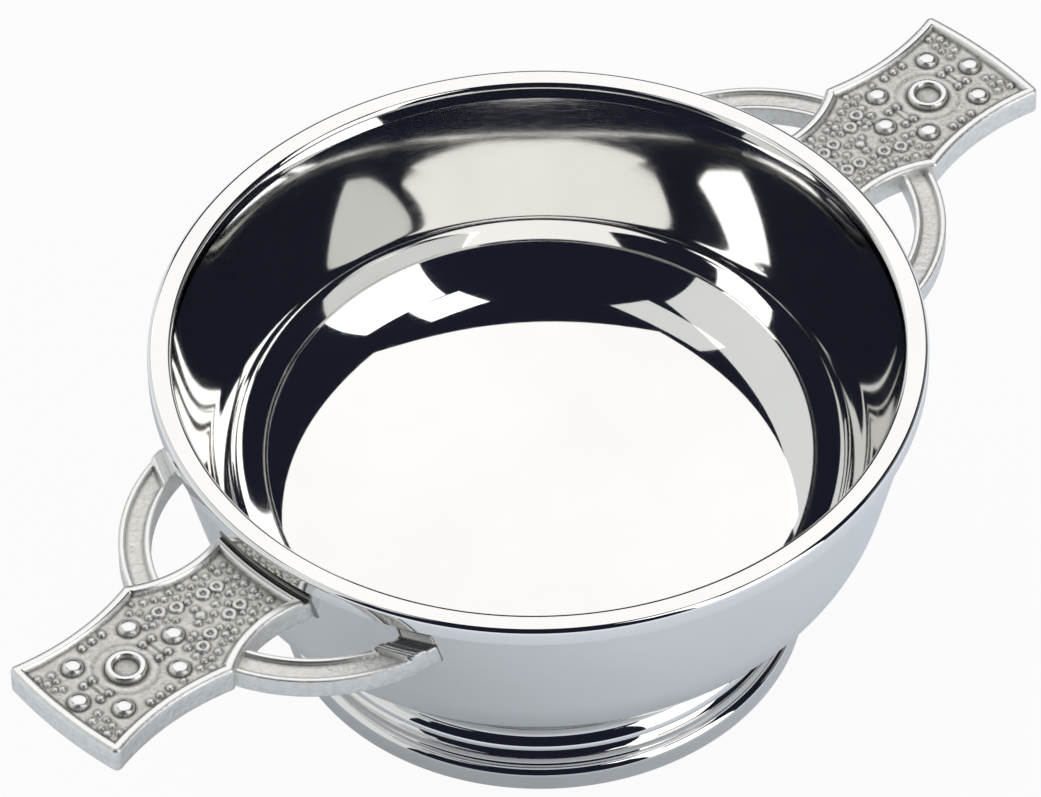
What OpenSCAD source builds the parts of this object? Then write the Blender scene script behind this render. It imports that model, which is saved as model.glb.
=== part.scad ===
// Quaich: a two handled drinking bowl with cross arm lugs.
// A spun bowl carries an applied rim band, a moulded foot ring and two cast lugs, all soldered on.
// Origin in the middle of the foot's underside, +Z up, the lugs along X. Millimetres.

/* [Bowl] */
// Outside diameter of the bowl's wall at its upper edge
bowl_d = 101.6; // [80:0.1:130]
// Height from the table to the top of the rim
height = 48.8; // [40:0.1:60]
// Thickness of the spun sheet
wall = 1.5; // [0.8:0.1:2.2]
// Lean of the wall from upright, in degrees
wall_lean = 12.9; // [6:0.1:20]
// Outside radius of the curve that turns the wall into the floor
floor_round = 18.5; // [12:0.5:24]
// Outside radius of the dished floor
floor_ball = 140; // [100:1:180]
// Height of the middle of the floor's underside above the table
floor_gap = 10.4; // [7:0.1:13]

/* [Rim band] */
// Width of the band, seen from above
rim_w = 3.2; // [2.8:0.1:5]
// Height of the band
rim_h = 2.7; // [2.2:0.1:5]
// How far the band stands proud of the wall outside
rim_proud = 0.5; // [0.2:0.1:1]
// Rounding of the band's two upper edges
rim_round = 0.8; // [0.3:0.1:1.2]
// Depth to which the sheet's edge sits in the band
rim_groove = 0.9; // [0.4:0.1:1.3]

/* [Foot ring] */
// Diameter of the foot where it stands
foot_d = 70.6; // [66:0.1:84]
// Height of the foot's upright outer edge
foot_edge_h = 1.8; // [1.2:0.1:2.4]
// Radius of the round above that edge
foot_round_r = 3.2; // [2.8:0.1:3.6]
// Height of that round's centre above the table
foot_round_z = 1; // [0.6:0.1:1.4]
// Width of the flat ring that stands on the table
foot_base_w = 2.6; // [1.5:0.1:4]
// Radius of the round collar over the foot
collar_r = 2.6; // [2.2:0.1:2.9]
// How far the collar's centre lies inside the foot's edge
collar_in = 3.3; // [3:0.1:3.8]
// Height of the collar's centre above the table
collar_z = 6.4; // [6:0.1:6.8]
// Radius of the cove between foot and collar
cove_r = 1.8; // [1.6:0.05:2]
// How far the cove's centre lies inside the foot's edge
cove_in = 0.75; // [0.4:0.05:1]
// Height of the cove's centre above the table
cove_z = 5.35; // [5.1:0.05:5.5]
// How far the outside of the neck lies inside the foot's edge
neck_in = 4.1; // [3.6:0.1:5]
// Wall thickness of the neck
neck_wall = 1.8; // [1:0.1:3]

/* [Lugs] */
// Reach of a lug from the bowl's wall to the middle of its tip
lug_reach = 34.2; // [28:0.1:45]
// Width of a lug across its tip and across its shoulders
lug_w = 20.2; // [18.8:0.1:24]
// Thickness of a lug, border included
lug_t = 4; // [3:0.1:6]
// How far a lug's top lies under the rim's top
lug_drop = 5.4; // [4:0.1:12]
// How far the tip's edge bulges outwards
tip_bulge = 0.8; // [0.3:0.1:3]
// Distance from the bowl's wall to the shoulders
shoulder_out = 13.8; // [11:0.1:18]
// Least width between tip and shoulders
waist_w = 17.6; // [15:0.1:19.4]
// Least width between shoulders and bowl
lug_neck_w = 14.8; // [12:0.1:17]
// Distance from the bowl's wall to that least width
lug_neck_out = 4.5; // [2:0.1:8]
// Width of the raised border
border_w = 1.2; // [0.5:0.1:1.5]
// Depth of the relief field under the border
field_depth = 0.7; // [0.5:0.1:1.4]

/* [Ring arcs] */
// How far inside the bowl's wall the arcs have their centre
arc_centre_in = 10.3; // [6:0.1:14]
// Outer radius of the arcs
arc_r = 25.5; // [24:0.1:29]
// Width of the arcs
arc_w = 4.2; // [3:0.1:6]
// How far the arcs' top lies under the lug's top
arc_drop = 1; // [0.9:0.1:1.6]
// Width of the two rails along an arc
rail_w = 0.75; // [0.4:0.05:1.2]
// Depth of the channel between the rails
channel_depth = 0.6; // [0.3:0.1:1]
// Length of the raised bar that ends an arc at the bowl
end_w = 2.8; // [2:0.1:3.4]
// Height of that bar above the rails
end_rise = 0.6; // [0.3:0.1:1]
// Length of the lower step between the bar and the bowl
step_w = 1.15; // [0.6:0.05:1.6]
// Height of the step above the rails
step_rise = 0.25; // [0.1:0.05:0.3]

/* [Relief] */
// Distance from the bowl's wall to the boss in the middle of the studs
boss_out = 22.8; // [20.5:0.1:25]
// Outside diameter of the boss's ring
boss_d = 5.4; // [4:0.1:6.4]
// Thickness of the boss's ring
boss_wire = 1; // [0.7:0.05:1.4]
// Depth of the dish inside the ring
dish_depth = 0.35; // [0.1:0.05:0.6]
// Diameter of a stud at its base
stud_d = 2.9; // [2:0.1:3.4]
// Height of a stud above the field
stud_h = 0.7; // [0.4:0.05:1.2]
// Distance of the four corner studs from the boss, along and across the lug
stud_square = 4.85; // [4.3:0.05:5.3]
// Distance of the two outer studs from the boss, along the lug
stud_line = 8.2; // [7.4:0.1:8.8]
// Distance from the boss to the small bead near the bowl
bead_line = 13; // [11.8:0.1:14.5]
// Diameter of that bead
small_bead_d = 1.5; // [0.8:0.1:2]
// Radius of the line cut round the boss
line_r = 4.3; // [4:0.05:4.5]
// Width of a cut line
line_w = 0.4; // [0.2:0.05:0.6]
// Depth of a cut line
line_depth = 0.25; // [0.1:0.05:0.4]
// Distance of the two cut bars from the boss, along the lug
bar_out = 5.1; // [4.9:0.05:5.5]
// Length of a cut bar
bar_l = 3.2; // [2:0.1:4]
// Diameter of the fine beads by the bars and beside the waist
fine_bead_d = 1.1; // [0.6:0.1:1.3]
// Height of the fine beads and the rosettes
fine_h = 0.4; // [0.2:0.05:0.6]
// Distance of a row of three fine beads from the boss, across the lug
row_out = 6.5; // [6.2:0.05:7]
// Pitch of the beads in that row
row_pitch = 1.7; // [1.4:0.05:2]
// Outside diameter of the rosettes near the bowl
rosette_d = 2; // [1.4:0.1:2.4]
// Thickness of a rosette's ring
rosette_wire = 0.6; // [0.4:0.05:0.8]

/* [Joints] */
// Thickness of a film of solder
solder_t = 0.2; // [0.1:0.05:0.4]

/* [Hidden] */
$fn = 120;

polished = [0.80, 0.82, 0.85];
cast = [0.68, 0.67, 0.64];
joint_metal = [0.58, 0.59, 0.60];

rim_z = height - rim_h;
seat_z = rim_z + rim_groove;
edge_z = seat_z - solder_t;

// Bowl: a leaning wall, a round and a dished floor, each tangent to the next.
// The round's centre lies floor_round inside the wall, and on a line from the dish's centre to where they touch.
bowl_r = bowl_d / 2;
ball_z = floor_gap + floor_ball;
round_far = floor_ball - floor_round;
round_out = bowl_r * cos(wall_lean) + (ball_z - seat_z) * sin(wall_lean) - floor_round;
round_down = sqrt(round_far ^ 2 - round_out ^ 2);
round_x = round_out * cos(wall_lean) - round_down * sin(wall_lean);
round_z = ball_z - round_out * sin(wall_lean) - round_down * cos(wall_lean);
wall_way = [cos(wall_lean), -sin(wall_lean)];
floor_way = [round_x, round_z - ball_z] / round_far;

// Foot: plan lengths from the axis
foot_r = foot_d / 2;
neck_r = foot_r - neck_in;
cove_x = foot_r - cove_in;
foot_round_x = foot_r - sqrt(foot_round_r ^ 2 - (foot_edge_h - foot_round_z) ^ 2);

// Lug: plan lengths from the bowl's axis, heights from the table
lug_z = height - lug_drop;
field_z = lug_z - field_depth;
lug_floor = lug_z - lug_t;
tip_x = bowl_r + lug_reach;
corner_x = tip_x - tip_bulge;
shoulder_x = bowl_r + shoulder_out;
waist_x = (corner_x + shoulder_x) / 2;
lug_neck_x = bowl_r + lug_neck_out;
tip_arc = arc_through(lug_w / 2, tip_bulge);
waist_arc = arc_through((corner_x - shoulder_x) / 2, (lug_w - waist_w) / 2);
lug_neck_arc = arc_through(shoulder_x - lug_neck_x, (lug_w - lug_neck_w) / 2);
arc_x = bowl_r - arc_centre_in;
arc_top = lug_z - arc_drop;
boss_x = bowl_r + boss_out;
// Rosettes: distance from the boss towards the bowl, and across the lug
rosettes = [[9.5, 4.2], [11.7, 3.2], [15.7, 2.5], [17.8, 2.2]];
root = 0.3;
past = 1;

// Radius of an arc from half its chord and its rise
function arc_through(half_chord, rise) = (half_chord ^ 2 + rise ^ 2) / (2 * rise);

// Outside radius of the leaning wall at a height, drawn in by inset
function wall_at(z, inset) = bowl_r - (seat_z - z) * tan(wall_lean) - inset / cos(wall_lean);

// Half section of the bowl's outer form, drawn in by inset: a leaning wall with a dished floor,
// and a round where the two meet
module bowl_form(inset, top) {
    reach = bowl_d + height;
    difference() {
        intersection() {
            translate([0, ball_z]) circle(floor_ball - inset);
            polygon([[0, 0], [wall_at(0, inset), 0], [wall_at(top, inset), top], [0, top]]);
        }
        translate([round_x, round_z]) difference() {
            polygon([[0, 0], reach * floor_way, [reach, -reach], reach * wall_way]);
            circle(floor_round - inset);
        }
    }
}

// Half section of the spun sheet
module sheet_section() {
    difference() {
        bowl_form(0, edge_z);
        bowl_form(wall, height);
    }
}

// Half section of a layer of solder on the bowl's outside
module solder_section() {
    difference() {
        bowl_form(-solder_t, rim_z);
        bowl_form(0, height);
    }
}

// The room that the bowl and its solder take up
module bowl_room() {
    rotate_extrude() bowl_form(-solder_t, height);
}

module bowl() {
    color(polished) rotate_extrude() sheet_section();
}

// Upper edges rounded, with a groove underneath for the sheet's edge
module rim_section() {
    outer = bowl_r + rim_proud;
    inner = outer - rim_w;
    difference() {
        union() {
            translate([inner, rim_z]) square([rim_w, rim_h - rim_round]);
            translate([inner + rim_round, rim_z]) square([rim_w - 2 * rim_round, rim_h]);
            for (x = [inner + rim_round, outer - rim_round])
                translate([x, height - rim_round]) circle(rim_round);
        }
        difference() {
            bowl_form(0, seat_z);
            bowl_form(wall, height);
        }
    }
}

module rim_band() {
    color(polished) rotate_extrude() rim_section();
}

module rim_solder() {
    color(joint_metal) rotate_extrude() difference() {
        bowl_form(0, seat_z);
        bowl_form(wall, height);
        square([bowl_d, edge_z]);
    }
}

// Outside: upright edge, round, cove, collar and neck. Inside: a flare under a plain neck.
module foot_section() {
    bore_r = neck_r - neck_wall;
    // The solid between round and cove ends on the line between their centres
    core_r = foot_round_x + (cove_x - foot_round_x) * foot_round_r / (foot_round_r + cove_r);
    difference() {
        union() {
            square([foot_r, foot_edge_h]);
            intersection() {
                translate([foot_round_x, foot_round_z]) circle(foot_round_r);
                square([foot_r, height / 2]);
            }
            square([core_r, collar_z]);
            translate([foot_r - collar_in, collar_z]) circle(collar_r);
            square([neck_r, height / 2]);
        }
        translate([cove_x, cove_z]) circle(cove_r);
        polygon([[0, -past], [foot_r - foot_base_w, -past], [foot_r - foot_base_w, 0],
                 [bore_r, foot_round_z + foot_round_r], [bore_r, height], [0, height]]);
        bowl_form(-solder_t, height);
    }
}

module foot_ring() {
    color(polished) rotate_extrude() foot_section();
}

module foot_solder() {
    color(joint_metal) rotate_extrude() intersection() {
        solder_section();
        translate([neck_r - neck_wall, 0]) square([neck_wall, height / 2]);
    }
}

// Plan of a lug's plate, drawn in by inset: bulging tip, hollow flanks that meet in pointed shoulders
module plate_plan(inset) {
    difference() {
        intersection() {
            translate([tip_x - tip_arc, 0]) circle(tip_arc - inset);
            translate([arc_x, -lug_w]) square([tip_x, 2 * lug_w]);
        }
        for (side = [-1, 1]) {
            translate([waist_x, side * (waist_w / 2 + waist_arc)]) circle(waist_arc + inset);
            translate([lug_neck_x, side * (lug_neck_w / 2 + lug_neck_arc)]) circle(lug_neck_arc + inset);
        }
    }
}

// Plan of the ring that both arcs belong to, drawn in from both edges by inset
module ring_plan(inset) {
    translate([arc_x, 0]) difference() {
        circle(arc_r - inset);
        circle(arc_r - arc_w + inset);
    }
}

module plate_blank() {
    translate([0, 0, lug_floor]) linear_extrude(lug_t) plate_plan(0);
}

module ring_blank() {
    translate([0, 0, lug_floor]) linear_extrude(lug_t - arc_drop) ring_plan(0);
}

// The sunk field inside the border; its inner end follows the bowl's wall
module field_cut() {
    translate([0, 0, field_z]) linear_extrude(field_depth + past) difference() {
        plate_plan(border_w);
        circle(wall_at(lug_z, -solder_t) + border_w);
    }
}

// The bars that end the arcs, each with a lower step against the bowl's wall
module end_bars() {
    seat = wall_at(arc_top, -solder_t);
    intersection() {
        translate([0, 0, lug_floor]) linear_extrude(lug_t) ring_plan(0);
        rotate_extrude() polygon([[seat - end_w, lug_floor], [seat + end_w, lug_floor], [seat + end_w, arc_top + end_rise],
                                  [seat + step_w, arc_top + end_rise], [seat + step_w, arc_top + step_rise],
                                  [seat - end_w, arc_top + step_rise]]);
    }
}

// The channel along the arcs, closed by the bar at the bowl
module channel_cut() {
    translate([0, 0, arc_top - channel_depth]) linear_extrude(channel_depth + past) difference() {
        ring_plan(rail_w);
        circle(wall_at(arc_top, -solder_t) + end_w);
    }
}

// A round button on the field, rooted in the plate
module button(d, h) {
    dome = arc_through(d / 2, h);
    rotate_extrude() intersection() {
        translate([0, h - dome]) circle(dome);
        translate([0, -root]) square([d, h + root]);
    }
}

// A round ring on the field, rooted in the plate
module ring(d, wire, h) {
    rotate_extrude() translate([(d - wire) / 2, 0]) {
        translate([-wire / 2, -root]) square([wire, h - wire / 2 + root]);
        translate([0, h - wire / 2]) circle(wire / 2);
    }
}

// Round hollow inside the boss
module dish() {
    half = boss_d / 2 - boss_wire;
    ball = arc_through(half, dish_depth);
    translate([0, 0, ball - dish_depth]) sphere(ball);
}

// The line round the boss and the two bars beside it
module cut_lines() {
    translate([0, 0, -line_depth]) linear_extrude(line_depth + past) {
        difference() {
            circle(line_r + line_w / 2);
            circle(line_r - line_w / 2);
        }
        for (along = [-1, 1]) translate([along * bar_out, 0]) square([line_w, bar_l], center = true);
    }
}

// Boss, studs and small bead
module studs() {
    ring(boss_d, boss_wire, stud_h);
    for (along = [-1, 1]) {
        translate([along * stud_line, 0]) button(stud_d, stud_h);
        for (across = [-1, 1]) translate([along, across] * stud_square) button(stud_d, stud_h);
    }
    translate([-bead_line, 0]) button(small_bead_d, stud_h / 2);
}

// Pairs of fine beads at the bars' ends, rows of three beside the waist, rosettes near the bowl
module fine_relief() {
    beside = (line_w + fine_bead_d) / 2;
    for (across = [-1, 1]) {
        for (along = [-1, 1], side = [-1, 1])
            translate([along * bar_out + side * beside, across * bar_l / 2]) button(fine_bead_d, fine_h);
        for (step = [-1:1])
            translate([step * row_pitch, across * row_out]) button(fine_bead_d, fine_h);
        for (place = rosettes)
            translate([-place[0], across * place[1]]) ring(rosette_d, rosette_wire, fine_h);
    }
}

// One casting, drawn on the +X side and seated on the bowl's wall
module lug() {
    difference() {
        union() {
            difference() {
                plate_blank();
                field_cut();
                translate([boss_x, 0, field_z]) {
                    dish();
                    cut_lines();
                }
            }
            difference() {
                ring_blank();
                channel_cut();
                plate_blank();
            }
            end_bars();
            translate([boss_x, 0, field_z]) {
                studs();
                fine_relief();
            }
        }
        bowl_room();
    }
}

// The films under a lug's plate and arcs
module lug_solder() {
    intersection() {
        union() {
            plate_blank();
            ring_blank();
            end_bars();
        }
        rotate_extrude() solder_section();
        translate([0, -bowl_d, 0]) cube([tip_x, 2 * bowl_d, height]);
    }
}

module lug_right() {
    color(cast) lug();
}

module lug_left() {
    color(cast) rotate([0, 0, 180]) lug();
}

module lug_right_solder() {
    color(joint_metal) lug_solder();
}

module lug_left_solder() {
    color(joint_metal) rotate([0, 0, 180]) lug_solder();
}

bowl();
rim_band();
foot_ring();
lug_left();
lug_right();
rim_solder();
foot_solder();
lug_left_solder();
lug_right_solder();
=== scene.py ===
"""Looks of a two handled drinking bowl: polished bowl, rim and foot, cast lugs with relief, white studio.

Lengths are millimetres until a mesh or a place is handed to Blender, which takes metres.
"""

import math

import bmesh
import bpy
import numpy as np
from mathutils import Matrix, Vector


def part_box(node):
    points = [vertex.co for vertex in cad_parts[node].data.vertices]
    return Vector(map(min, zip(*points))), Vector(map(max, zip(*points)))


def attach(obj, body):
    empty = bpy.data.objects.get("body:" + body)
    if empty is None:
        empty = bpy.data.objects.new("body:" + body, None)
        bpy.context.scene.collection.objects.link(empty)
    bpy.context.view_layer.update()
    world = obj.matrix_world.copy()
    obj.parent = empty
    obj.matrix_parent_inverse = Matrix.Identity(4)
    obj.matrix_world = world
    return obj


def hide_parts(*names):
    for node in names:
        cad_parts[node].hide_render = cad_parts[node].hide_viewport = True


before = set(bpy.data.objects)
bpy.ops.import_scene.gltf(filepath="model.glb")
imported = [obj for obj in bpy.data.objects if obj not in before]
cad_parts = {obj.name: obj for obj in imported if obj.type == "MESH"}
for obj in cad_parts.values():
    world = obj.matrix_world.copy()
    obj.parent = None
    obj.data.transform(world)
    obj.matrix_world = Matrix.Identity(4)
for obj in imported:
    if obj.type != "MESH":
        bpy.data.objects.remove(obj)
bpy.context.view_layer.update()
MM = 0.001


def corners(node):
    """Lowest and highest corner of a CAD node, in millimetres."""
    low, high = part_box(node)
    return low / MM, high / MM


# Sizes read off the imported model
bowl_low, bowl_high = corners("bowl")
rim_low, rim_high = corners("rim_band")
_, foot_high = corners("foot_ring")
lug_low, lug_high = corners("lug_right")
floor_gap = bowl_low.z
sheet_edge = bowl_high.z
height = rim_high.z
rim_z = rim_low.z
foot_r = foot_high.x
lug_z = lug_high.z
lug_floor = lug_low.z

# Bowl and rim: sizes that the boxes do not show, as in the part's own construction
wall = 1.5
wall_lean = math.radians(12.9)
floor_round, floor_ball = 18.5, 140.0
solder_t = 0.2
rim_w, rim_proud, rim_round, rim_groove = 3.2, 0.5, 0.8, 0.9
rim_soft, rim_crown = 0.15, 0.06

# Polished inside: leans in degrees under the rim and at the turn, then the turn and the dished floor
inner_lean_top, inner_lean_low = 13.63, 16.52
inner_turn_z, inner_round, inner_ball = 28.21, 17.6, 138.2

# Foot: its edge round and cove are a little tighter than the solid's
foot_edge_h, foot_round_r, foot_base_w, foot_soft = 2.1, 1.3, 2.6, 0.2
cove_r = 1.8
collar_r, collar_in, collar_z = 2.6, 3.3, 6.4
neck_in, neck_wall, bore_low_z = 4.1, 1.8, 4.2

# Lug plate: a little longer and wider at the tip than the solid, with rounded edges and corners
tip_longer = 0.4
lug_half, waist_half, neck_half = 10.4, 9.0, 7.5
tip_bulge, shoulder_out, neck_out = 0.8, 13.8, 4.5
border_w, border_crown, field_depth = 1.35, 0.16, 0.7
edge_round, corner_round, under_round = 0.55, 0.3, 0.45
crevice_depth = 0.4

# Lug relief: places in the plan are measured from the boss; the bead and the rosettes lie towards the bowl
boss_out, boss_r, boss_wire, dish_depth = 22.8, 2.7, 1.0, 0.35
stud_r, stud_h, stud_square, stud_line = 1.45, 0.7, 4.85, 8.2
bead_line, small_bead_r = 13.0, 0.75
line_r, line_w, line_depth = 4.3, 0.4, 0.25
bar_out, bar_half = 5.1, 1.6
fine_r, fine_h, row_out, row_pitch = 0.55, 0.4, 6.5, 1.7
rosette_r, rosette_wire, rosette_h = 1.0, 0.6, 0.28
rosettes = [(9.5, 4.2), (11.7, 3.2), (15.7, 2.5), (17.8, 2.2)]
pebble_pitch, pebble_row, pebble_stray = 1.5, 0.87, 0.3
pebble_r, pebble_h = (0.38, 0.58), (0.22, 0.38)
pebbles_to_bowl, pebbles_to_tip, pebbles_to_side = 3.2, 6.6, 2.2
sunk_by_bowl, sunk_by_tip = 0.10, 0.05

# Ring arcs between plate and bowl
arc_in, arc_r, arc_w, arc_drop, arc_soft = 10.3, 25.5, 4.2, 1.0, 0.25
rail_w, rail_crown, channel_depth = 0.9, 0.1, 0.6
end_w, end_rise, step_w, step_rise = 2.8, 0.6, 1.15, 0.25
arc_in_plate = 0.2

# Bowl: a leaning wall, a round and a dished floor, each tangent to the next
seat_z = rim_z + rim_groove
edge_r = rim_high.x - rim_proud
ball_z = floor_gap + floor_ball
round_far = floor_ball - floor_round
round_out = edge_r * math.cos(wall_lean) + (ball_z - seat_z) * math.sin(wall_lean) - floor_round
round_down = math.sqrt(round_far ** 2 - round_out ** 2)
round_x = round_out * math.cos(wall_lean) - round_down * math.sin(wall_lean)
round_z = ball_z - round_out * math.sin(wall_lean) - round_down * math.cos(wall_lean)
floor_turn = math.degrees(math.asin(round_x / round_far))
wall_turn = 90 - math.degrees(wall_lean)


def arc_through(half_chord, rise):
    """Radius of an arc from half its chord and its rise."""
    return (half_chord ** 2 + rise ** 2) / (2 * rise)


# Lug: plan lengths from the bowl's axis
tip_x = lug_high.x + tip_longer
corner_x = tip_x - tip_bulge
shoulder_x = edge_r + shoulder_out
waist_x = (corner_x + shoulder_x) / 2
lug_neck_x = edge_r + neck_out
tip_arc = arc_through(lug_half, tip_bulge)
waist_arc = arc_through((corner_x - shoulder_x) / 2, lug_half - waist_half)
neck_arc = arc_through(shoulder_x - lug_neck_x, lug_half - neck_half)
arc_x = edge_r - arc_in
arc_top = lug_z - arc_drop
field_z = lug_z - field_depth
boss_x = edge_r + boss_out

# Fineness of the meshes
ROUND_STEPS = 384
GRAIN = 0.13


# Mesh helpers

def arc(cx, cz, r, start, stop, steps):
    """Points on an arc, angles in degrees from the horizontal."""
    angles = np.radians(np.linspace(start, stop, steps + 1))
    return [(cx + r * math.cos(a), cz + r * math.sin(a)) for a in angles]


def make_object(name, points, faces, attributes=None, sharp=40):
    """A smooth shaded mesh object, with float values per point where given."""
    mesh = bpy.data.meshes.new(name)
    mesh.from_pydata((np.asarray(points, float) * MM).tolist(), [], faces)
    shape = bmesh.new()
    shape.from_mesh(mesh)
    bmesh.ops.recalc_face_normals(shape, faces=shape.faces)
    shape.to_mesh(mesh)
    shape.free()
    mesh.polygons.foreach_set("use_smooth", [p.loop_total <= 4 for p in mesh.polygons])
    mesh.set_sharp_from_angle(angle=math.radians(sharp))
    for key, values in (attributes or {}).items():
        mesh.attributes.new(key, "FLOAT", "POINT").data.foreach_set("value", np.asarray(values, np.float32))
    obj = bpy.data.objects.new(name, mesh)
    bpy.context.scene.collection.objects.link(obj)
    return obj


def lathe(name, profile, closed):
    """A profile of (radius, height) points turned about the axis; a point on the axis becomes a pole."""
    turn = np.linspace(0, 2 * math.pi, ROUND_STEPS, endpoint=False)
    points, rings = [], []
    for r, z in profile:
        first = len(points)
        if r < 1e-6:
            points.append((0, 0, z))
            rings.append([first] * ROUND_STEPS)
        else:
            points += [(r * math.cos(a), r * math.sin(a), z) for a in turn]
            rings.append(list(range(first, first + ROUND_STEPS)))
    pairs = list(zip(rings, rings[1:]))
    if closed:
        pairs.append((rings[-1], rings[0]))
    faces = []
    for low, high in pairs:
        for k in range(ROUND_STEPS):
            n = (k + 1) % ROUND_STEPS
            faces.append(tuple(dict.fromkeys((low[k], low[n], high[n], high[k]))))
    return make_object(name, points, faces)


# Bowl, rim and foot

def wall_at(z, inset=0):
    """Radius of the bowl's leaning wall at a height, drawn in by inset."""
    return edge_r - (seat_z - z) * math.tan(wall_lean) - inset / math.cos(wall_lean)


def bowl_line(inset, top):
    """Profile of the bowl's form drawn in by inset, from the axis up to a height."""
    line = arc(0, ball_z, floor_ball - inset, -90, floor_turn - 90, 48)
    line += arc(round_x, round_z, floor_round - inset, floor_turn - 90, wall_turn - 90, 64)[1:]
    foot_of_wall = line[-1][1]
    return line + [(wall_at(z, inset), z) for z in np.linspace(foot_of_wall, top, 24)[1:]]


def inner_line():
    """Profile of the polished inside, hollowed a little along the wall as the reflections show."""
    heights = np.linspace(sheet_edge, inner_turn_z, 40)
    lean = np.radians(np.interp(-heights, [-rim_z, -inner_turn_z], [inner_lean_top, inner_lean_low]))
    drop = -np.diff(heights, prepend=heights[0])
    radii = wall_at(sheet_edge, wall) - np.cumsum(np.tan(lean) * drop)
    low = math.radians(inner_lean_low)
    cx, cz = radii[-1] - inner_round * math.cos(low), inner_turn_z + inner_round * math.sin(low)
    far = inner_ball - inner_round
    turn = math.degrees(math.asin(cx / far))
    line = arc(0, cz + math.sqrt(far ** 2 - cx ** 2), inner_ball, -90, turn - 90, 48)
    line += arc(cx, cz, inner_round, turn - 90, -inner_lean_low, 64)[1:]
    return line + list(zip(radii, heights))[-2::-1]


def make_bowl():
    """Spun sheet: the polished inside and the outside meet at its upper edge."""
    outer = bowl_line(0, sheet_edge)
    return lathe("bowl_spun", inner_line() + outer[::-1], closed=False)


def make_rim():
    """Band with a faintly crowned top and rounded edges, grooved underneath for the sheet."""
    outer = rim_high.x
    inner = outer - rim_w
    profile = arc(outer - rim_soft, rim_z + rim_soft, rim_soft, -90, 0, 4)
    profile += arc(outer - rim_round, height - rim_round, rim_round, 0, 88, 14)
    width = rim_w - 2 * rim_round
    for share in np.arange(1, 8) / 8:
        profile.append((outer - rim_round - width * share, height - rim_crown * (2 * share - 1) ** 2))
    profile += arc(inner + rim_round, height - rim_round, rim_round, 92, 180, 14)
    profile += arc(inner + rim_soft, rim_z + rim_soft, rim_soft, 180, 270, 4)
    for inset, z in ((wall, rim_z), (wall, seat_z), (0, seat_z), (0, rim_z)):
        profile.append((wall_at(z, inset), z))
    return lathe("rim_polished", profile, closed=True)


def underside(r):
    """Height of the solder under the dished floor at a distance from the axis."""
    return ball_z - math.sqrt((floor_ball + solder_t) ** 2 - r ** 2)


def meeting(first, second, side):
    """Point where two circles (x, z, radius) cross, left (1) or right (-1) of the line between centres."""
    (ax, az, ar), (bx, bz, br) = first, second
    far = math.hypot(bx - ax, bz - az)
    along = (ar ** 2 - br ** 2 + far ** 2) / (2 * far)
    across = side * math.sqrt(ar ** 2 - along ** 2)
    ux, uz = (bx - ax) / far, (bz - az) / far
    return ax + along * ux - across * uz, az + along * uz + across * ux


def turn_of(circle, point):
    """Angle of a point on a circle, in degrees."""
    return math.degrees(math.atan2(point[1] - circle[1], point[0] - circle[0]))


def make_foot():
    """Moulded ring: base, edge round, cove, collar and a neck up to the solder, hollow inside."""
    foot_round = (foot_r - foot_round_r, foot_edge_h, foot_round_r)
    cove = (foot_r - foot_round_r, foot_edge_h + foot_round_r + cove_r, cove_r)
    collar = (foot_r - collar_in, collar_z, collar_r)
    neck_r = foot_r - neck_in
    bore_r = neck_r - neck_wall
    high = meeting(collar, cove, 1)
    cove_stop = turn_of(cove, high)
    if cove_stop > -90:
        cove_stop -= 360
    neck_foot = (neck_r, collar_z + math.sqrt(collar_r ** 2 - (neck_r - collar[0]) ** 2))
    profile = [(foot_r - foot_base_w, 0)] + arc(foot_r - foot_soft, foot_soft, foot_soft, -90, 0, 5)
    profile += arc(*foot_round, 0, 90, 20)
    profile += arc(*cove, -90, cove_stop, 32)[1:]
    profile += arc(*collar, turn_of(collar, high), turn_of(collar, neck_foot), 28)[1:]
    profile += [(r, underside(r)) for r in np.linspace(neck_r, bore_r, 6)]
    profile += [(bore_r, bore_low_z)]
    return lathe("foot_moulded", profile, closed=True)


# Lugs: plan curves

def seat_at(z):
    """Radius of the soldered wall at a height."""
    return wall_at(z, -solder_t)


def half_width(x):
    """Half the plate's width: a hollow neck up to the shoulders, then a hollow waist."""
    past_neck = np.clip(x - lug_neck_x, -neck_arc, neck_arc)
    neck = neck_half + neck_arc - np.sqrt(neck_arc ** 2 - past_neck ** 2)
    waist = waist_half + waist_arc - np.sqrt(waist_arc ** 2 - (x - waist_x) ** 2)
    return np.where(x < shoulder_x, neck, waist)


def flank_slope(x):
    """Length along the flank for a step along the lug."""
    step = 0.05
    rise = (half_width(x + step) - half_width(x - step)) / (2 * step)
    return np.sqrt(1 + np.clip(rise, -0.8, 0.8) ** 2)


def tip_line(y):
    """Distance of the tip's edge from the bowl's axis, along the lug."""
    return tip_x - tip_arc + np.sqrt(tip_arc ** 2 - y ** 2)


def seat_line(y):
    """Distance of the plate's seat on the bowl from the axis, along the lug."""
    return np.sqrt(seat_at(lug_z) ** 2 - y ** 2)


def ease(value, low, high):
    """Smooth step from 0 at low to 1 at high."""
    t = np.clip((value - low) / (high - low), 0, 1)
    return t * t * (3 - 2 * t)


# Lugs: relief on the field, as heights over the field

def dome(rho, r, h, power=3.2):
    """A button with a full crown."""
    return h * np.clip(1 - (rho / r) ** power, 0, 1) ** 0.62


def hoop(rho, r, wire, h):
    """A ring of wire with a flattened top, whose outer radius is r."""
    across = np.abs(rho - (r - wire / 2)) / (wire / 2)
    return h * np.clip(1 - across ** 5, 0, 1) ** 0.55


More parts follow.
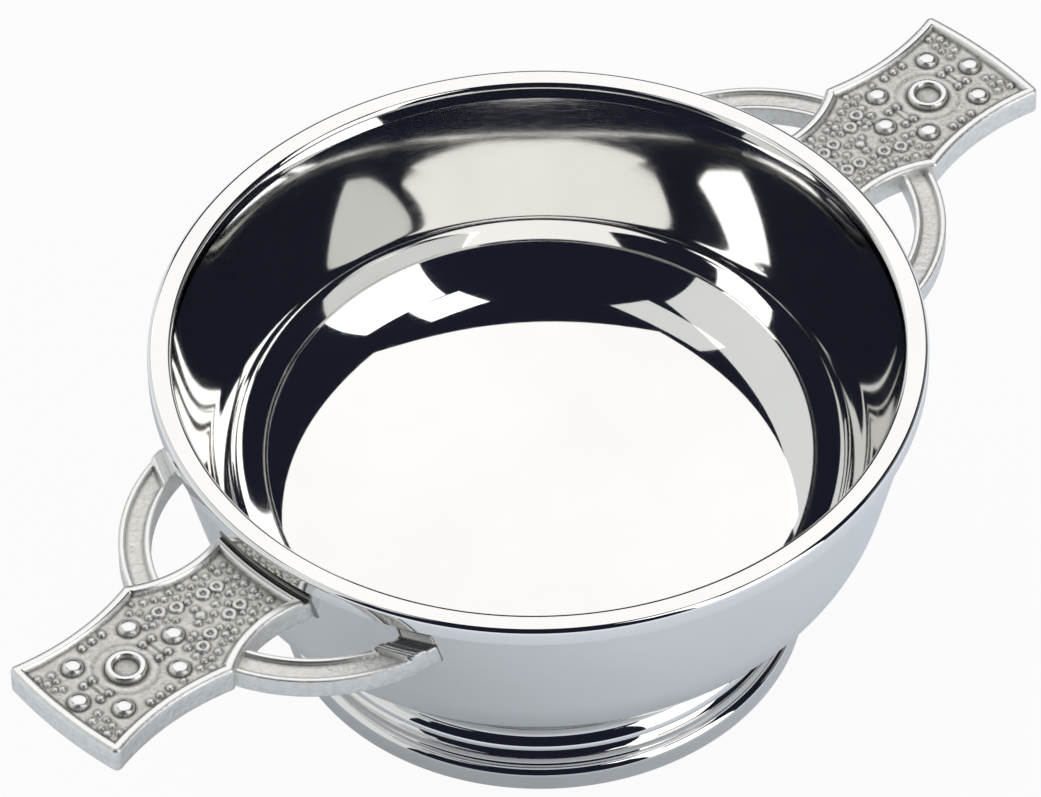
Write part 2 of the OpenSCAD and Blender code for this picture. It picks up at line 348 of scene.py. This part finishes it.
def pebble_places():
    """Places, radii and heights of the pebbles in the field near the bowl and in the tip's corners."""
    rng = np.random.default_rng(11)
    keep_off = [(0, 0, boss_r + 1.9), (-bead_line, 0, small_bead_r + 0.55)]
    keep_off += [(s * stud_line, 0, stud_r + 0.6) for s in (-1, 1)]
    keep_off += [(s * stud_square, t * stud_square, stud_r + 0.65) for s in (-1, 1) for t in (-1, 1)]
    keep_off += [(-a, s * b, rosette_r + 0.45) for a, b in rosettes for s in (-1, 1)]
    keep_off += [(s * bar_out, t * bar_half, fine_r + 1.0) for s in (-1, 1) for t in (-1, 0, 1)]
    keep_off += [(s * row_pitch, t * row_out, fine_r + 0.45) for s in (-1, 0, 1) for t in (-1, 1)]
    places = []
    for row in range(-19, 9):
        for column in range(-7, 8):
            x = row * pebble_pitch * pebble_row
            y = (column + 0.5 * (row % 2)) * pebble_pitch
            x, y = np.array([x, y]) + rng.uniform(-pebble_stray, pebble_stray, 2)
            r = rng.uniform(*pebble_r)
            near_bowl = x < -pebbles_to_bowl
            in_corner = x > pebbles_to_tip and abs(y) > pebbles_to_side
            clear = all(math.hypot(x - a, y - b) > c for a, b, c in keep_off)
            inside = edge_distance(boss_x + x, y) > border_w + 0.75
            if (near_bowl or in_corner) and clear and inside:
                places.append((x, y, r, rng.uniform(*pebble_h)))
    return places


def relief(x, y):
    """Heights over the field at points in the plan."""
    u = x - boss_x
    rho = np.hypot(u, y)
    base = -sunk_by_bowl * ease(-u, 2.6, 4.4) - sunk_by_tip * ease(u, 5.6, 6.6)
    base -= dish_depth * np.clip(1 - (rho / (boss_r - boss_wire)) ** 2, 0, 1)
    base -= 0.5 * line_depth * np.exp(-((rho - line_r) / (0.7 * line_w)) ** 2)
    for side in (-1, 1):
        past_end = np.maximum(np.abs(y) - bar_half, 0)
        from_bar = (u - side * bar_out) ** 2 + past_end ** 2
        base -= 0.9 * line_depth * np.exp(-(from_bar / (0.55 * line_w) ** 2))
    raised = hoop(rho, boss_r, boss_wire, stud_h)
    on_wire = np.abs(rho - boss_r + boss_wire / 2) < boss_wire / 2
    raised = np.where(on_wire, np.maximum(raised, 0.25), raised)
    moat = 0.12 * np.exp(-((rho - boss_r - 0.25) / 0.3) ** 2)

    def put(a, b, shape, r, *values, dip):
        """Raises a form at a place from the boss, with a dip of the ground around it."""
        nonlocal raised, moat
        d = np.hypot(u - a, y - b)
        raised = np.maximum(raised, shape(d, r, *values))
        moat = np.maximum(moat, dip * np.exp(-((d - r - 0.12) / 0.28) ** 2))

    for s in (-1, 1):
        put(s * stud_line, 0, dome, stud_r, stud_h, dip=0.10)
        for t in (-1, 1):
            put(s * stud_square, t * stud_square, dome, stud_r, stud_h, dip=0.10)
            beside = (line_w + 2 * fine_r) / 2
            for side in (-1, 1):
                put(s * bar_out + side * beside, t * bar_half, dome, fine_r, fine_h, dip=0.1)
    put(-bead_line, 0, dome, small_bead_r, stud_h / 2, dip=0.08)
    for t in (-1, 1):
        for s in (-1, 0, 1):
            put(s * row_pitch, t * row_out, dome, fine_r, fine_h, dip=0.08)
        for a, b in rosettes:
            put(-a, t * b, hoop, rosette_r, rosette_wire, rosette_h, dip=0.05)
    for a, b, r, h in pebble_places():
        put(a, b, dome, r, h, 2.0, dip=0.09)
    return base - np.where(raised > 0, 0, moat) + raised


# Lugs: meshes

def blur(values, reach):
    """Mean over a square of neighbours in a grid."""
    kernel = np.ones(2 * reach + 1) / (2 * reach + 1)
    padded = np.pad(values, reach, mode="edge")
    padded = np.apply_along_axis(np.convolve, 0, padded, kernel, mode="valid")
    return np.apply_along_axis(np.convolve, 1, padded, kernel, mode="valid")


def edge_distance(x, y):
    """Distance in the plan from the plate's outline."""
    flank = (half_width(x) - np.abs(y)) / flank_slope(x)
    return np.minimum(flank, np.minimum(tip_line(y) - x, x - seat_line(y)))


# Shares of the border's width at which the grid has a line
BAND = [0.0, 0.1, 0.2, 0.3, 0.4, 0.5, 0.58, 0.66, 0.74, 0.82, 0.9, 1.0]


def plate_plan():
    """Grid over the plate's plan, whose outer lines follow the border."""
    inset = border_w + 0.1
    mitre = 1.06
    shoulder_seat = math.sqrt(float(seat_at(lug_z)) ** 2 - lug_half ** 2) + inset
    shoulder_tip = corner_x - inset
    share = (shoulder_x - shoulder_seat) / (shoulder_tip - shoulder_seat)
    length = shoulder_tip - shoulder_seat
    inner = np.linspace(0, share, int(share * length / GRAIN))
    outer = np.linspace(share, 1, int((1 - share) * length / GRAIN))[1:]
    s = np.concatenate([inner, outer])[1:-1]
    # Rows go from the seat to the tip as shares of both lines and a shift, columns from flank to flank
    band = np.array(BAND)
    edge = edge_round + band * (inset - edge_round)
    rows = [(1, 0, d) for d in band * inset]
    rows += [(1 - k, k, inset * (1 - 2 * k)) for k in s]
    rows += [(0, 1, -d) for d in edge[::-1]]
    t = np.linspace(-1, 1, int(2 * waist_half / GRAIN))[1:-1]
    columns = [(-1, d * mitre) for d in edge]
    columns += [(k, -k * inset * mitre) for k in t]
    columns += [(1, -d * mitre) for d in edge[::-1]]
    a, b, c = (np.array(v)[:, None] for v in zip(*rows))
    p, q = (np.array(v)[None, :] for v in zip(*columns))
    x = a * edge_r + b * tip_x + c + 0 * p
    for _ in range(25):
        y = p * half_width(x) + q
        x = a * seat_line(y) + b * tip_line(y) + c
    return round_corners(x, y, edge_round, edge_round * mitre)


def round_corners(x, y, tip_inset, flank_inset):
    """Moves the grid's points by the two corners of the tip from a square onto a quarter disc."""
    to_tip = np.clip(corner_round - (tip_line(y) - x - tip_inset), 0, None)
    to_flank = np.clip(corner_round - (half_width(x) - np.abs(y) - flank_inset), 0, None)
    squeeze = 1 - np.maximum(to_tip, to_flank) / np.maximum(np.hypot(to_tip, to_flank), 1e-9)
    inside = (to_tip > 0) & (to_flank > 0)
    squeeze = np.where(inside, squeeze, 0)
    return x - to_tip * squeeze, y - np.sign(y) * to_flank * squeeze


def plate_heights(x, y):
    """Heights of the plate's top, and how far each point lies in the crevice along the bowl."""
    d = edge_distance(x, y)
    fall = 1 - ease(d, border_w - 0.2, border_w + 0.4)
    crown = 1 - border_crown * ((d - 0.8) / 0.6) ** 2
    field = relief(x, y) * ease(d, border_w + 0.1, border_w + 0.5)
    z = field_z + field_depth * crown * fall + field * (1 - fall)
    crevice = 1 - ease(x - seat_line(y), 0.35, 0.65)
    return np.minimum(z, lug_z) - crevice_depth * crevice, crevice


def plate_wear(z, crevice):
    """Shares of wear, on what stands high, and of painted shade, in what lies lower than its neighbours and
    in the crevice.
    """
    wide = np.clip((blur(z, 5) - z) / 0.2, 0, 1)
    narrow = np.clip((blur(z, 2) - z) / 0.12, 0, 1)
    proud = np.clip((z - blur(z, 4)) / 0.12, 0, 1)
    worn = np.maximum(ease(z, lug_z - 0.5, lug_z - 0.16), 0.45 * proud) * (1 - crevice)
    # The second share is painted shade in hollows and along the crevice by the bowl
    return worn, np.clip(np.maximum(0.5 * wide + 0.5 * narrow, crevice), 0, 1)


def outward(start, on_seat):
    """Level directions out of the plate around its loop of points; along the seat only its ends have one."""
    along = np.roll(start, -1, 0) - np.roll(start, 1, 0)
    out = np.stack([along[:, 1], -along[:, 0]], 1)
    out /= np.linalg.norm(out, axis=1, keepdims=True)
    out *= np.sign((out * (start[:, :2] - [waist_x, 0])).sum(1).mean())
    out[on_seat] = 0
    ends = np.flatnonzero(on_seat)[[0, -1]]
    out[ends] = np.stack([[0, 0], np.sign(start[ends, 1])], 1)
    return out


def edge_rings():
    """Steps down the plate's edge: reach outwards, then a drop from the top or else a level."""
    turn = np.radians(np.linspace(0, 90, 6))
    rings = [(edge_round * math.sin(a), edge_round * (math.cos(a) - 1), None) for a in turn[1:]]
    rings += [(edge_round, None, lug_floor + (lug_z - lug_floor) * share) for share in (0.66, 0.33)]
    for a in turn:
        reach = edge_round + under_round * (math.cos(a) - 1)
        rings.append((reach, None, lug_floor + under_round * (1 - math.sin(a))))
    return rings


def make_plate():
    """Points, faces and values of a lug's plate: relief on top, rounded edges, flat underside."""
    x, y = plate_plan()
    z, crevice = plate_heights(x, y)
    worn, hollow = plate_wear(z, crevice)
    points = np.stack([x, y, z], -1).reshape(-1, 3).tolist()
    # hollow holds the painted shade of hollows and the crevice; the edge rings get none
    values = {"worn": worn.ravel().tolist(), "hollow": hollow.ravel().tolist()}
    index = np.arange(x.size).reshape(x.shape)
    quads = [index[:-1, :-1], index[1:, :-1], index[1:, 1:], index[:-1, 1:]]
    faces = np.stack(quads, -1).reshape(-1, 4).tolist()
    loop = np.concatenate([index[0, :-1], index[:-1, -1], index[-1, :0:-1], index[:0:-1, 0]])
    on_seat = loop < x.shape[1]
    start = np.array(points)[loop]
    out = outward(start, on_seat)
    last = loop
    for reach, drop, level in edge_rings():
        ring = start.copy()
        ring[:, :2] += out * reach
        ring[:, 2] = start[:, 2] + drop if level is None else level
        seat = ring[on_seat]
        seat[:, :2] *= (seat_at(seat[:, 2]) / np.hypot(seat[:, 0], seat[:, 1]))[:, None]
        ring[on_seat] = seat
        new = np.arange(len(points), len(points) + len(loop))
        points += ring.tolist()
        faces += np.stack([last, np.roll(last, -1), np.roll(new, -1), new], -1).tolist()
        values["worn"] += [0.45 if level is None else 0.25] * len(loop)
        values["hollow"] += [0.0] * len(loop)
        last = new
    faces.append(last.tolist())
    return points, faces, values


def arc_section():
    """Section of a ring arc, once around: radii, heights, and whether a point is on the top."""
    low, high = arc_r - arc_w + arc_soft, arc_r - arc_soft
    bottom, upper = lug_floor + arc_soft, arc_top - arc_soft
    outer = arc(high, bottom, arc_soft, -90, 0, 4) + arc(high, upper, arc_soft, 0, 80, 4)
    inner = arc(low, upper, arc_soft, 100, 180, 4) + arc(low, bottom, arc_soft, 180, 270, 4)
    across = np.linspace(0, 1, int(arc_w / GRAIN))[1:-1]
    flat = [(high - (arc_w - 2 * arc_soft) * share, arc_top) for share in across]
    r, z = np.array(outer + flat + inner).T
    on_top = np.zeros(len(r), bool)
    on_top[len(outer):len(outer) + len(flat)] = True
    return r, z, on_top


def arc_angles(r, z):
    """Angles along a ring arc, from inside the plate's flank to the bowl, for each point of the section."""
    near, far = np.zeros_like(r), np.full_like(r, math.pi / 2)
    for _ in range(50):
        middle = (near + far) / 2
        inside = r * np.sin(middle) < half_width(arc_x + r * np.cos(middle)) - arc_in_plate
        near, far = np.where(inside, middle, near), np.where(inside, far, middle)
    stop = np.arccos(np.clip((seat_at(z) ** 2 - arc_x ** 2 - r ** 2) / (2 * arc_x * r), -1, 1))
    steps = int(arc_r * (stop.mean() - near.mean()) / GRAIN)
    return near + (stop - near) * np.linspace(0, 1, steps + 1)[:, None]


def make_ring_arc(side):
    """Points, faces and values of one arc: rails, a sunk channel and a stepped bar at the bowl."""
    r, z, on_top = arc_section()
    angle = arc_angles(r, z)
    x, y = arc_x + r * np.cos(angle), side * r * np.sin(angle)
    to_bowl = np.hypot(x, y) - seat_at(arc_top)
    to_edge = np.minimum(r - arc_r + arc_w, arc_r - r)
    to_rail = np.minimum(to_edge + 0 * angle, to_bowl - end_w + rail_w)
    sunk = channel_depth * ease(to_rail, rail_w - 0.2, rail_w + 0.12)
    from_crown = np.clip((to_rail - 0.5 * rail_w) / (0.5 * rail_w), -1, 1)
    crown = rail_crown * from_crown ** 2 * (to_rail < rail_w)
    lift = end_rise * (1 - ease(to_bowl, end_w - 0.3, end_w + 0.1))
    lift -= (end_rise - step_rise) * (1 - ease(to_bowl, step_w - 0.15, step_w + 0.15))
    in_upper_part = z > arc_top - 1.1 * arc_soft
    level = np.where(on_top, z - sunk - crown, z) + np.where(in_upper_part, lift, 0)
    points = np.stack([x, y, level], -1).reshape(-1, 3).tolist()
    index = np.arange(angle.size).reshape(angle.shape)
    ahead = np.roll(index, -1, 1)
    faces = np.stack([index[:-1], ahead[:-1], ahead[1:], index[1:]], -1).reshape(-1, 4).tolist()
    faces += [index[0].tolist(), index[-1].tolist()]
    worn = np.where(on_top, 0.25 + 0.7 * (1 - ease(to_rail, rail_w - 0.3, rail_w)), 0.3)
    # Painted shade in the channel's corners along the rails and at the end bar's step
    in_channel = ease(to_rail, rail_w - 0.1, rail_w + 0.1)
    corner = in_channel * (1 - ease(to_rail, rail_w + 0.1, rail_w + 0.6))
    corner += 1 - ease(np.abs(to_bowl - step_w), 0.1, 0.3)
    hollow = np.where(on_top, 0.6 * np.clip(corner, 0, 1), 0)
    return points, faces, {"worn": worn.ravel().tolist(), "hollow": hollow.ravel().tolist()}


def make_lug(name, turned):
    """Plate and both ring arcs in one mesh, turned half a turn for the left lug."""
    points, faces, values = make_plate()
    for side in (-1, 1):
        more_points, more_faces, more_values = make_ring_arc(side)
        first = len(points)
        points += more_points
        faces += [[first + k for k in face] for face in more_faces]
        for key in values:
            values[key] += more_values[key]
    points = np.array(points)
    if turned:
        points[:, :2] *= -1
    return make_object(name, points, faces, values, sharp=50)


# Materials

def add(tree, kind, inputs=None, **settings):
    """A node; an input that is a socket is linked, and any other is set."""
    node = tree.nodes.new(kind)
    for key, value in settings.items():
        setattr(node, key, value)
    for key, value in (inputs or {}).items():
        if isinstance(value, bpy.types.NodeSocket):
            tree.links.new(value, node.inputs[key])
        else:
            node.inputs[key].default_value = value
    return node


def new_material(name):
    material = bpy.data.materials.new(name)
    material.use_nodes = True
    tree = material.node_tree
    shader = tree.nodes["Principled BSDF"]
    shader.inputs["Metallic"].default_value = 1.0
    place = add(tree, "ShaderNodeTexCoord").outputs["Object"]
    return material, tree, shader, place


def noise(tree, place, scale, detail=2.0, rough=0.5):
    inputs = {"Vector": place, "Scale": scale, "Detail": detail, "Roughness": rough}
    return add(tree, "ShaderNodeTexNoise", inputs).outputs["Fac"]


def spread(tree, value, low, high, to_low, to_high):
    """A value's range mapped to another range, and held at its ends."""
    inputs = {"Value": value, "From Min": low, "From Max": high, "To Min": to_low, "To Max": to_high}
    return add(tree, "ShaderNodeMapRange", inputs).outputs["Result"]


def mix_colour(tree, factor, a, b):
    node = add(tree, "ShaderNodeMix", data_type="RGBA")
    tree.links.new(factor, node.inputs[0])
    for socket, value in ((node.inputs[6], a), (node.inputs[7], b)):
        if isinstance(value, bpy.types.NodeSocket):
            tree.links.new(value, socket)
        else:
            socket.default_value = (*value, 1)
    return node.outputs[2]


def bump(tree, shader, heights, strength, distance):
    inputs = {"Height": heights, "Strength": strength, "Distance": distance}
    tree.links.new(add(tree, "ShaderNodeBump", inputs).outputs["Normal"], shader.inputs["Normal"])


def polished_metal():
    """Hand finished mirror: faint clouding, hairlines from the polishing wheel, slight waviness."""
    material, tree, shader, place = new_material("polished_metal")
    clouded, clear = (0.88, 0.873, 0.855), (0.91, 0.903, 0.885)
    cloud = spread(tree, noise(tree, place, 38, 3), 0.35, 0.65, 0, 1)
    tree.links.new(mix_colour(tree, cloud, clouded, clear), shader.inputs["Base Color"])
    stretch = {"Vector": place, "Scale": (1, 1, 30), "Rotation": (0.3, 0.2, 0.5)}
    stretched = add(tree, "ShaderNodeMapping", stretch).outputs["Vector"]
    hairlines = noise(tree, stretched, 420, 4, 0.6)
    tree.links.new(spread(tree, hairlines, 0.45, 0.75, 0.030, 0.075), shader.inputs["Roughness"])
    bump(tree, shader, noise(tree, place, 26, 1), 0.05, 0.0006)
    return material


def cast_metal():
    """Satin casting: painted shade in the hollows, grained on the ground, rubbed bright on the high spots.
    """
    material, tree, shader, place = new_material("cast_metal")
    worn = add(tree, "ShaderNodeAttribute", attribute_name="worn").outputs["Fac"]
    hollow = add(tree, "ShaderNodeAttribute", attribute_name="hollow").outputs["Fac"]
    dull, light = (0.70, 0.69, 0.65), (0.95, 0.94, 0.91)
    # dark is painted shade, laid by the hollow attribute into hollows, crevices and corners
    dark, rubbed = (0.20, 0.19, 0.17), (0.90, 0.90, 0.885)
    speckle = spread(tree, noise(tree, place, 1100, 4, 0.7), 0.3, 0.7, 0, 1)
    ground = mix_colour(tree, speckle, dull, light)
    # Painted shade: the ground turns to dark where hollow is high
    painted_shade_ground = mix_colour(tree, hollow, ground, dark)
    tree.links.new(mix_colour(tree, worn, painted_shade_ground, rubbed), shader.inputs["Base Color"])
    tree.links.new(spread(tree, worn, 0, 1, 0.52, 0.26), shader.inputs["Roughness"])
    depth = spread(tree, worn, 0, 0.6, 1.0, 0.06)
    bump(tree, shader, noise(tree, place, 1500, 3, 0.6), depth, 0.00025)
    return material


def solder():
    """Dull film of solder with a slightly lumpy skin."""
    material, tree, shader, place = new_material("solder")
    dark, light = (0.24, 0.24, 0.245), (0.38, 0.38, 0.385)
    lumps = noise(tree, place, 700, 3)
    tint = mix_colour(tree, spread(tree, lumps, 0.3, 0.7, 0, 1), dark, light)
    tree.links.new(tint, shader.inputs["Base Color"])
    tree.links.new(spread(tree, lumps, 0.3, 0.7, 0.3, 0.5), shader.inputs["Roughness"])
    bump(tree, shader, lumps, 0.2, 0.0001)
    return material


# Camera, fitted to the photograph: angles in degrees, lengths in millimetres
VIEW_AZIMUTH, VIEW_ELEVATION, VIEW_ROLL = -43.256, 46.389, -1.297
VIEW_DISTANCE, VIEW_RIGHT, VIEW_UP = 1220.8, -3.055, 26.17
PHOTO_FOCUS_PIXELS, PHOTO_WIDTH_PIXELS = 9042, 1041


def view_axes():
    """Level way towards the camera, level right, and the way up to the camera, in the photograph's view."""
    azimuth, elevation = math.radians(VIEW_AZIMUTH), math.radians(VIEW_ELEVATION)
    level = Vector((math.sin(azimuth), -math.cos(azimuth), 0))
    right = Vector((math.cos(azimuth), math.sin(azimuth), 0))
    return level, right, level * math.cos(elevation) + Vector((0, 0, math.sin(elevation)))


def make_camera():
    data = bpy.data.cameras.new("camera")
    data.sensor_width = 36
    data.lens = data.sensor_width * PHOTO_FOCUS_PIXELS / PHOTO_WIDTH_PIXELS
    data.clip_start, data.clip_end = 0.05, 30
    camera = bpy.data.objects.new("camera", data)
    bpy.context.scene.collection.objects.link(camera)
    _, right, back = view_axes()
    roll = math.radians(VIEW_ROLL)
    up = back.cross(right)
    across = right * math.cos(roll) + up * math.sin(roll)
    upward = up * math.cos(roll) - right * math.sin(roll)
    place = (back * VIEW_DISTANCE + across * VIEW_RIGHT + upward * VIEW_UP) * MM
    camera.matrix_world = Matrix.Translation(place) @ Matrix((across, upward, back)).transposed().to_4x4()
    bpy.context.scene.camera = camera


# Studio: white floor, a large softbox overhead, upright and small ones at the sides, dark room around

# Floor in metres, its colours, how much of it is plain white to the camera, and how far left of the bowl the
# painted shadow in its mirrored glow lies
FLOOR_REACH, FLOOR_BELOW = 6.0, 0.0001
# PAINTED_FLOOR_GLOW is a painted glow that metal mirrors in place of the lit floor
PAPER, PAINTED_FLOOR_GLOW = (0.78, 0.81, 0.86, 1), (0.84, 0.91, 1.0, 1)
WHITE_SHARE = 0.94
GLOW_SHIFT = 0.026


def combine(tree, operation, a, b):
    return add(tree, "ShaderNodeMath", {0: a, 1: b}, operation=operation).outputs[0]


def mix_shader(tree, factor, a, b):
    inputs = {0: factor, 1: a.outputs[0], 2: b.outputs[0]}
    return add(tree, "ShaderNodeMixShader", inputs)


def floor_glow(tree):
    """Share of painted glow from the floor as metal shows it: painted shadow dim under the bowl, painted
    light growing with metres from it.

    The painted shadow lies a little left of the bowl as the camera sees it, because the right side is
    lighter.
    """
    place = add(tree, "ShaderNodeTexCoord").outputs["Object"]
    _, right, _ = view_axes()
    away = {0: place, 1: right * -GLOW_SHIFT}
    distance = add(tree, "ShaderNodeVectorMath", away, operation="DISTANCE").outputs["Value"]
    near = spread(tree, distance, 0.044, 0.075, 0.14, 0.40)
    far = spread(tree, distance, 0.07, 0.22, 0, 0.55)
    return combine(tree, "ADD", near, far)


def floor_white():
    """Paper that takes the object's shadow, white for the camera, and where metal mirrors it a sky blue
    painted glow with painted shadow near the bowl.
    """
    material = bpy.data.materials.new("floor_white")
    material.use_nodes = True
    tree = material.node_tree
    tree.nodes.remove(tree.nodes["Principled BSDF"])
    paper = add(tree, "ShaderNodeBsdfDiffuse", {"Color": PAPER})
    painted_glow = add(tree, "ShaderNodeEmission", {"Color": PAINTED_FLOOR_GLOW, "Strength": 1.0})
    white = add(tree, "ShaderNodeEmission", {"Color": (1, 1, 1, 1), "Strength": 1.0})
    rays = add(tree, "ShaderNodeLightPath").outputs
    mirrored = combine(tree, "MAXIMUM", rays["Is Glossy Ray"], rays["Is Transmission Ray"])
    # Painted light and shadow: the glow's share in reflections follows floor_glow
    in_mirror = combine(tree, "MULTIPLY", mirrored, floor_glow(tree))
    in_view = spread(tree, rays["Is Camera Ray"], 0, 1, 0, WHITE_SHARE)
    both = mix_shader(tree, in_view, mix_shader(tree, in_mirror, paper, painted_glow), white)
    tree.links.new(both.outputs[0], tree.nodes["Material Output"].inputs["Surface"])
    return material


def make_floor():
    square = [(-1, -1), (1, -1), (1, 1), (-1, 1)]
    points = [(x * FLOOR_REACH, y * FLOOR_REACH, -FLOOR_BELOW) for x, y in square]
    mesh = bpy.data.meshes.new("floor")
    mesh.from_pydata(points, [], [(0, 1, 2, 3)])
    mesh.materials.append(floor_white())
    floor = bpy.data.objects.new("floor", mesh)
    bpy.context.scene.collection.objects.link(floor)


def make_world():
    """A dark room for light and reflections, white where the camera looks past the floor."""
    world = bpy.data.worlds.new("studio")
    bpy.context.scene.world = world
    world.use_nodes = True
    tree = world.node_tree
    tree.nodes.clear()
    room = add(tree, "ShaderNodeBackground", {"Color": (0.010, 0.012, 0.022, 1), "Strength": 1.0})
    white = add(tree, "ShaderNodeBackground", {"Color": (1, 1, 1, 1), "Strength": 1.0})
    rays = add(tree, "ShaderNodeLightPath").outputs
    both = mix_shader(tree, rays["Is Camera Ray"], room, white)
    output = add(tree, "ShaderNodeOutputWorld")
    tree.links.new(both.outputs[0], output.inputs["Surface"])


def make_softbox(name, bearing, elevation, distance, spans, radiance, colour, roll):
    """A flat lamp facing the object from a bearing right of the camera and an elevation, in degrees.

    Its spans across (left to right as seen from the object) and up are in shares of the distance.
    """
    level, right, _ = view_axes()
    a, e = math.radians(bearing), math.radians(elevation)
    out = level * math.cos(a) + right * math.sin(a)
    way = out * math.cos(e) + Vector((0, 0, math.sin(e)))
    level_across = right * math.cos(a) - level * math.sin(a)
    level_up = way.cross(level_across)
    turn = math.radians(roll)
    across = level_across * math.cos(turn) + level_up * math.sin(turn)
    upward = level_up * math.cos(turn) - level_across * math.sin(turn)
    (left_edge, right_edge), (low_edge, high_edge) = spans
    middle = way + across * (left_edge + right_edge) / 2 + upward * (low_edge + high_edge) / 2
    data = bpy.data.lights.new(name, "AREA")
    data.shape = "RECTANGLE"
    data.size, data.size_y = distance * (right_edge - left_edge), distance * (high_edge - low_edge)
    data.energy = radiance * math.pi * data.size * data.size_y
    data.color = colour
    lamp = bpy.data.objects.new(name, data)
    axes = Matrix((across, upward, way)).transposed().to_4x4()
    lamp.matrix_world = Matrix.Translation(middle * distance) @ axes
    lamp.visible_camera = False
    bpy.context.scene.collection.objects.link(lamp)


WHITE, WARM, GREENISH, CREAM = (1, 1, 1), (1.0, 0.992, 0.978), (0.98, 1.0, 0.98), (1.0, 0.98, 0.93)

# Name, bearing, elevation, distance in metres, spans across and up, radiance, colour and roll
lamps = [
    ("softbox_overhead", 180, 56.8, 2.0, ((-0.68, 0.565), (-0.46, 0.7)), 1.08, WARM, 4.3),
    ("softbox_right", 49, 0, 1.6, ((-0.20, 0.47), (0.05, 1.19)), 1.8, WHITE, 0),
    ("softbox_near_right", 44, 59, 1.5, ((-0.13, 0.13), (-0.14, 0.13)), 1.7, WHITE, 0),
    ("softbox_near_left", -62, 60, 1.5, ((-0.30, 0.15), (-0.13, 0.12)), 0.74, GREENISH, 0),
    ("softbox_left", -90, 0, 1.8, ((-1.7, 0.76), (0.0, 1.33)), 0.74, GREENISH, 0),
    ("card_right_back", 120, 0, 1.6, ((-0.55, 0.6), (0.02, 0.45)), 0.17, CREAM, 0),
]

make_camera()
make_floor()
make_world()
for lamp in lamps:
    make_softbox(*lamp)

polish, casting, film = polished_metal(), cast_metal(), solder()

pieces = [
    (make_bowl(), "bowl", polish, "polished_metal"),
    (make_rim(), "rim_band", polish, "polished_metal"),
    (make_foot(), "foot_ring", polish, "polished_metal"),
    (make_lug("lug_right_cast", False), "lug_right", casting, "cast_metal"),
    (make_lug("lug_left_cast", True), "lug_left", casting, "cast_metal"),
]
for piece, node, material, slot in pieces:
    piece.data.materials.append(material)
    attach(piece, "root")
    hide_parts(node)

for node in ("rim_solder", "foot_solder", "lug_left_solder", "lug_right_solder"):
    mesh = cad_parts[node].data
    mesh.materials.clear()
    mesh.materials.append(film)

bpy.context.scene.view_settings.view_transform = "Standard"
